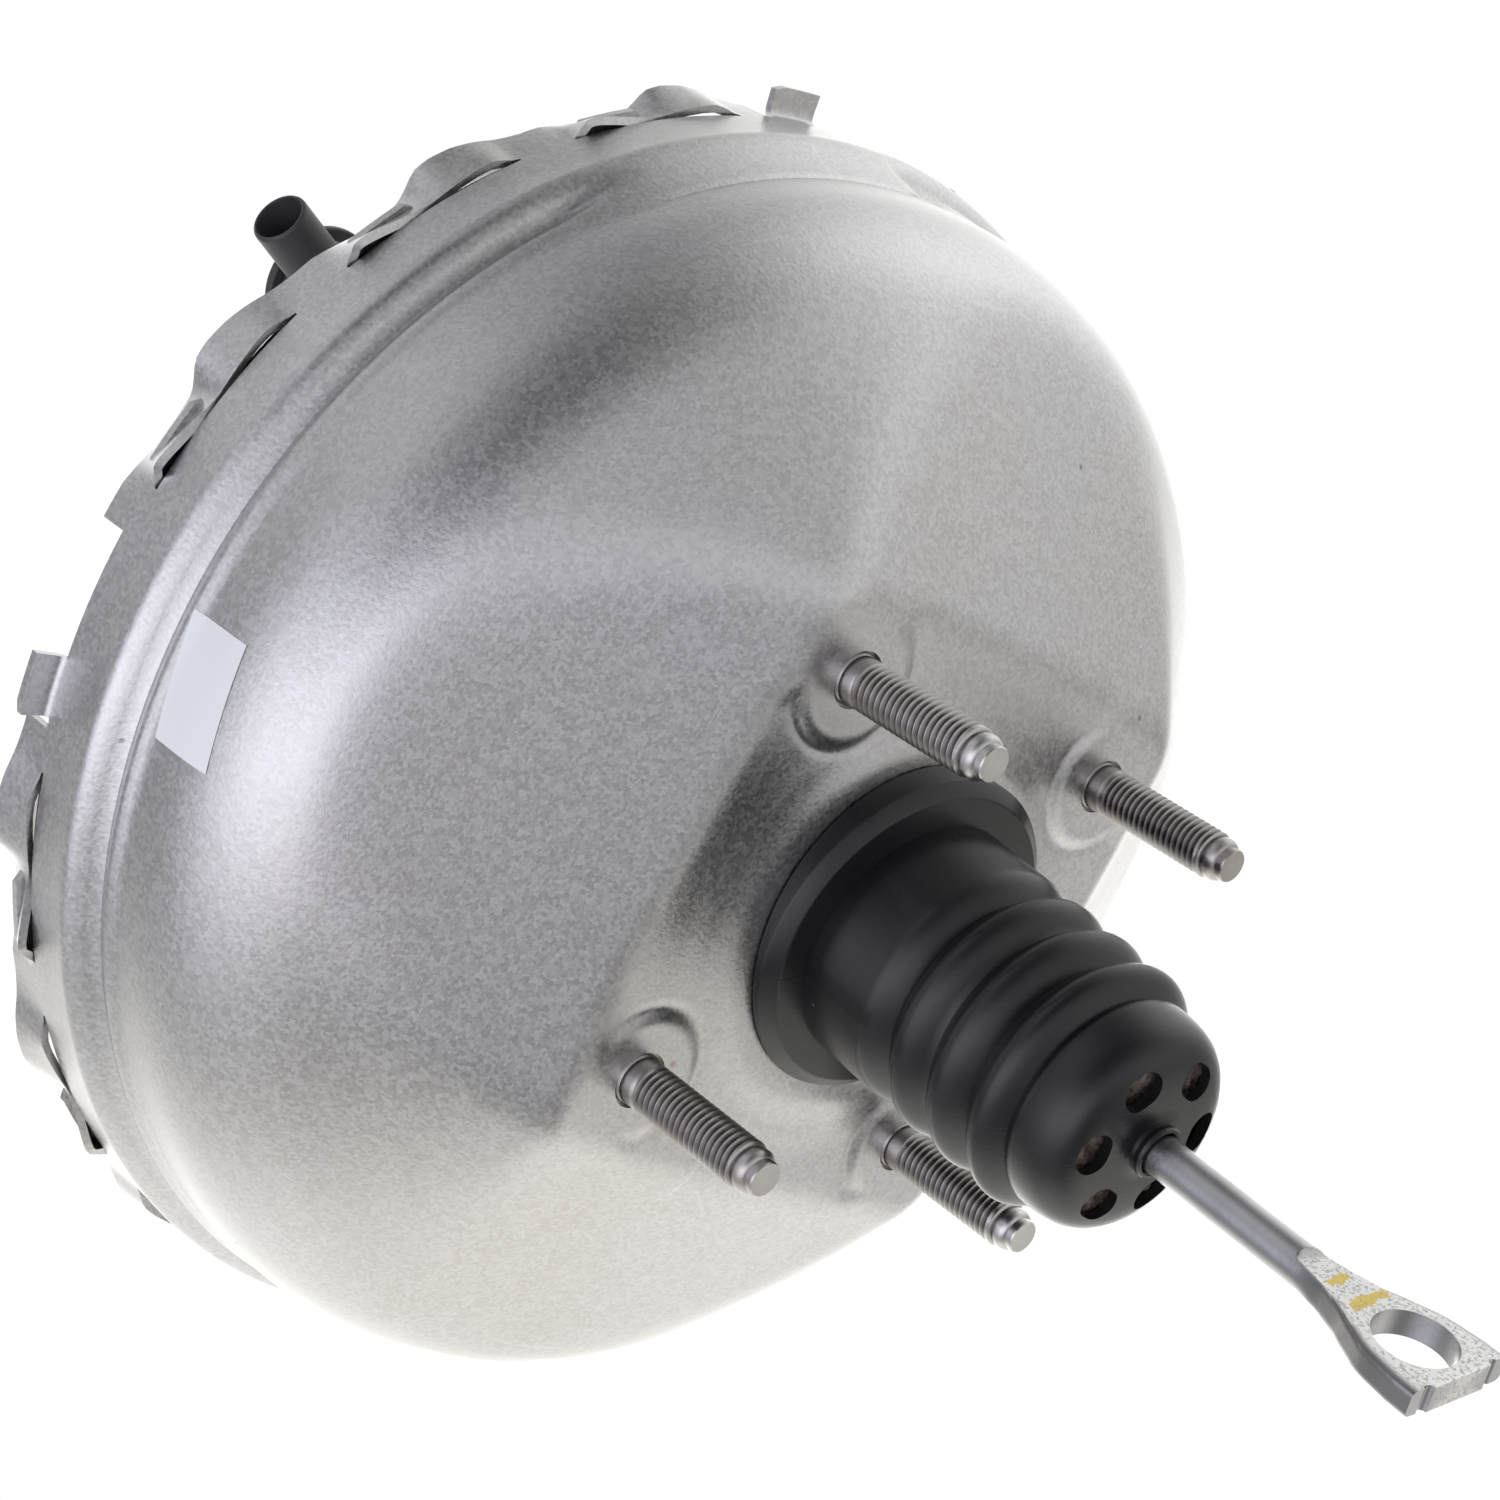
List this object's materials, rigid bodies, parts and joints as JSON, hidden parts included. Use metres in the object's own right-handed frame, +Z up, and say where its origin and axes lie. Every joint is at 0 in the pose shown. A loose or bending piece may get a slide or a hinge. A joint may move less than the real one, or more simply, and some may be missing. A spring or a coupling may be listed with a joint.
{
  "type": "vacuum brake booster",
  "caption": "Single-diaphragm vacuum brake booster: pressed steel drum, mounting studs, rubber dust boot, pushrod with an eye, and a check valve with a hose nipple.",
  "frame": {"origin": "centre of the four-stud pattern, on the flat firewall face of the rear shell", "axes": "-Y along the firewall studs and the input pushrod, towards the pedal; +Y towards the master cylinder; +Z up and +X to the side, both along the sides of the square stud pattern"},
  "size_m": [0.2782, 0.3274, 0.278],
  "materials": {
    "plated_shell": "satin grey plating with fine grain",
    "bare_steel": "bright steel with light handling wear",
    "dark_steel": "dull phosphated steel",
    "spring_steel": "oiled spring wire",
    "black_rubber": "semi-matte moulded rubber",
    "dark_plastic": "moulded filled plastic",
    "bearing_plastic": "smooth bearing plastic",
    "white_label": "blank white film",
    "felt": "pressed felt"
  },
  "bodies": {
    "housing": {"rear_shell": "plated_shell", "stud_plate": "dark_steel", "firewall_studs": "bare_steel", "rear_bearing": "bearing_plastic", "rear_seal": "black_rubber", "dust_boot": "black_rubber", "front_shell": "plated_shell", "front_plate": "dark_steel", "master_cylinder_studs": "bare_steel", "front_seal": "black_rubber", "diaphragm": "black_rubber", "return_spring": "spring_steel", "label": "white_label", "valve_grommet": "black_rubber"},
    "power_piston": {"valve_body": "dark_plastic", "support_plate": "dark_steel", "lock_ring": "spring_steel", "reaction_disc": "black_rubber", "output_rod": "bare_steel", "adjusting_screw": "bare_steel", "rod_retainer": "dark_steel", "stop_key": "spring_steel", "poppet": "black_rubber", "poppet_retainer": "bare_steel", "poppet_spring": "spring_steel", "air_filter": "felt", "valve_return_spring": "spring_steel"},
    "air_valve": {"air_valve": "bare_steel"},
    "pushrod": {"input_rod": "bare_steel", "spring_washer": "bare_steel", "silencer_felt": "felt"},
    "check_valve": {"check_valve_base": "dark_plastic", "check_valve_elbow": "dark_plastic", "check_valve_spring": "spring_steel"},
    "check_disc": {"check_valve_disc": "black_rubber"}
  },
  "joints": [
    {"name": "piston_slide", "type": "slide", "parent": "housing", "child": "power_piston", "axis": [0, 1, 0], "range_m": [0, 0.034], "stiffness_N_per_m": 1500, "springref_m": -0.08, "deforming": ["return_spring", "diaphragm", "dust_boot"]},
    {"name": "valve_slide", "type": "slide", "parent": "power_piston", "child": "air_valve", "axis": [0, 1, 0], "range_m": [0, 0.002], "stiffness_N_per_m": 3000, "springref_m": -0.01, "deforming": ["poppet", "poppet_spring", "valve_return_spring"]},
    {"name": "pushrod_swing", "type": "hinge", "parent": "air_valve", "child": "pushrod", "pos_m": [0, 0.028, 0], "axis": [-0.3987, -0.044, 0.916], "range_deg": [-3, 3], "stiffness_Nm_per_rad": 4},
    {"name": "check_valve_turn", "type": "hinge", "parent": "housing", "child": "check_valve", "pos_m": [-0.05604, 0.151, 0.05469], "axis": [0, 1, 0], "continuous": true},
    {"name": "check_disc_lift", "type": "slide", "parent": "check_valve", "child": "check_disc", "axis": [0, 1, 0], "range_m": [0, 0.002], "stiffness_N_per_m": 100, "springref_m": -0.002, "deforming": ["check_valve_spring"]}
  ]
}
